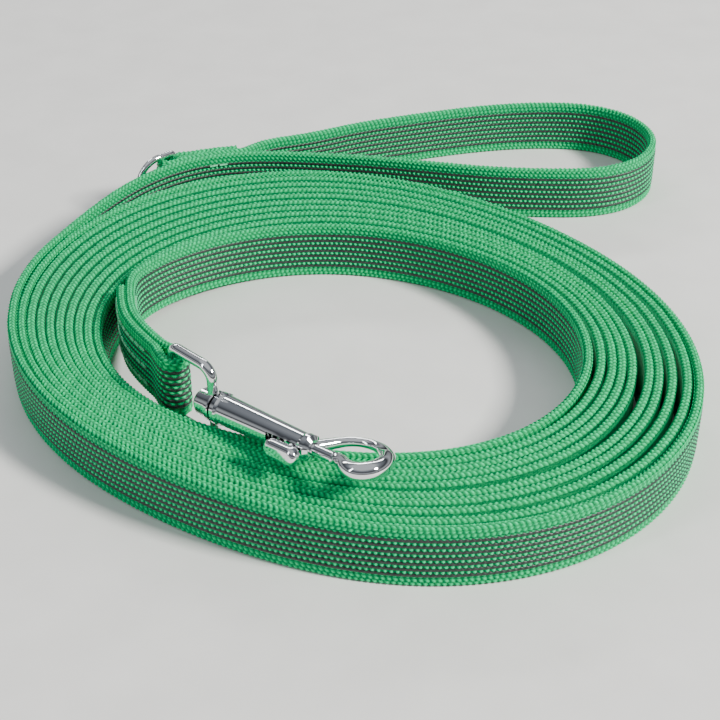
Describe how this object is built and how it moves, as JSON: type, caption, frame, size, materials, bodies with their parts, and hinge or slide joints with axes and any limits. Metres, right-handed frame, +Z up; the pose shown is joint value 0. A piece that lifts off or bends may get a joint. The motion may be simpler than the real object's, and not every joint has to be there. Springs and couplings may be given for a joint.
{
  "type": "training leash",
  "caption": "Long flat rubberised training leash wound on edge into a coil, with a sewn hand loop, a D-ring and a swivel bolt snap.",
  "frame": {"origin": "bottom centre of the whole object's box, on the surface the coil lies on", "axes": "+Z up out of the coil; +Y away from the viewer, towards the hand loop; +X to the viewer's right; the snap lies over the coil's front left side"},
  "size_m": [0.1694, 0.1952, 0.0275],
  "materials": {
    "webbing": "woven nylon with raised rows of dark rubber thread",
    "thread": "pale sewing thread",
    "chrome": "polished plating",
    "spring_steel": "plain drawn steel"
  },
  "bodies": {
    "webbing": {"coil_webbing": "webbing", "snap_end_webbing": "webbing", "snap_fold": "webbing", "snap_tail": "webbing", "snap_stitching": "thread", "lead_webbing": "webbing", "rear_strand": "webbing", "ring_fold": "webbing", "handle_stitching": "thread"},
    "eye": {"swivel_eye": "chrome"},
    "hook": {"hook_body": "chrome", "collar": "chrome", "spring_seat": "spring_steel", "latch_spring": "spring_steel"},
    "bolt": {"latch_bolt": "chrome", "thumb_knob": "chrome"},
    "ring": {"handle_ring": "chrome"}
  },
  "joints": [
    {"name": "eye_swing", "type": "hinge", "parent": "webbing", "child": "eye", "pos_m": [-0.04093, -0.05057, 0.01685], "axis": [0, 0, 1], "range_deg": [0, 90]},
    {"name": "snap_swivel", "type": "hinge", "parent": "eye", "child": "hook", "pos_m": [-0.04084, -0.05065, 0.01518], "axis": [0.7195, -0.6804, 0.1392], "range_deg": [-18, 30]},
    {"name": "latch_slide", "type": "slide", "parent": "hook", "child": "bolt", "axis": [-0.7195, 0.6804, -0.1392], "range_m": [0, 0.0065], "stiffness_N_per_m": 300, "springref_m": -0.004, "deforming": ["latch_spring"]},
    {"name": "ring_swing", "type": "hinge", "parent": "webbing", "child": "ring", "pos_m": [-0.05248, 0.05741, 0.00955], "axis": [0, 0, -1], "range_deg": [0, 110]}
  ]
}
